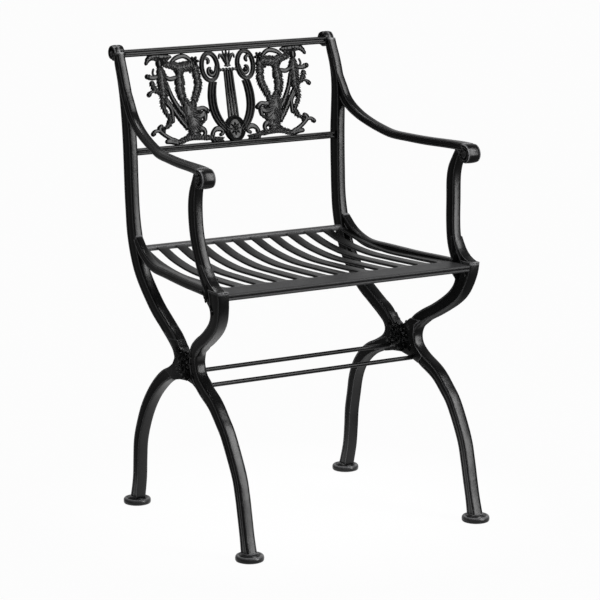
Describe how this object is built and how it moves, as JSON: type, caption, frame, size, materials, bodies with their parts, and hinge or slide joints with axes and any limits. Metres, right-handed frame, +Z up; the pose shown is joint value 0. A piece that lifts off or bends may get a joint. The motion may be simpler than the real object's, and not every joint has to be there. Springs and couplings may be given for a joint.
{
  "type": "garden armchair",
  "caption": "Black cast iron garden armchair with crossed curved side frames, scrolled arms, slatted seat, tie rods and an openwork lyre back.",
  "frame": {"origin": "on the floor plane, in the middle of the chair's overall width and depth", "axes": "+Z up, the chair faces -Y, +X to the right of a viewer who looks at its front"},
  "size_m": [0.5656, 0.5289, 0.832],
  "materials": {
    "side_frame": "black satin paint over sand casting",
    "back": "black satin paint over sand casting",
    "seat": "black satin paint over sand casting",
    "tie_rod": "black satin paint over drawn rod"
  },
  "bodies": {
    "root": {"side_frame_right": "side_frame", "side_frame_left": "side_frame", "crest_rail": "back", "back_lower_rail": "back", "lyre": "back", "lyre_medallion": "back", "lyre_strings": "back", "back_ornament_right": "back", "back_ornament_left": "back", "seat_front_rail": "seat", "seat_rear_rail": "seat", "seat_band_right": "seat", "seat_band_left": "seat", "tie_rod_upper": "tie_rod", "tie_rod_lower": "tie_rod", "seat_slat_01": "seat", "seat_slat_02": "seat", "seat_slat_03": "seat", "seat_slat_04": "seat", "seat_slat_05": "seat", "seat_slat_06": "seat", "seat_slat_07": "seat", "seat_slat_08": "seat", "seat_slat_09": "seat", "seat_slat_10": "seat"}
  },
  "joints": []
}
